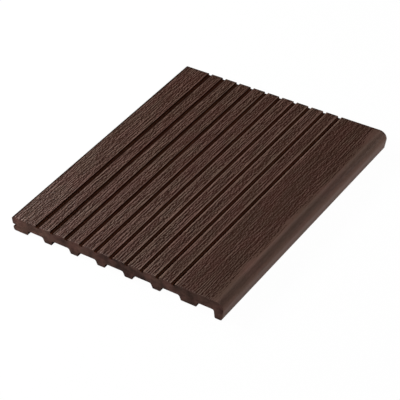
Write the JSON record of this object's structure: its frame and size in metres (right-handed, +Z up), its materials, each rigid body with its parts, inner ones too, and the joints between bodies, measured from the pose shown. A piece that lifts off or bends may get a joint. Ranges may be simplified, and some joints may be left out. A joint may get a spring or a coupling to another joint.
{
  "type": "composite stair tread",
  "caption": "Extruded composite stair tread with a grooved walking surface, a rounded nosing with a hanging lip, a channelled underside and a clip slot in the rear edge.",
  "frame": {"origin": "on the underside of the middle narrow foot, half-way along the piece, in the plane of the feet", "axes": "+X along the nosing and the grooves, +Y to the rear edge, +Z up through the walking surface"},
  "size_m": [0.407, 0.347, 0.03],
  "materials": {
    "composite": "dark brown wood-plastic composite, brushed with a fine grain along the grooves on the walking surface, smooth on the nosing and sawn at the ends"
  },
  "bodies": {
    "root": {"stair_tread": "composite"}
  },
  "joints": []
}
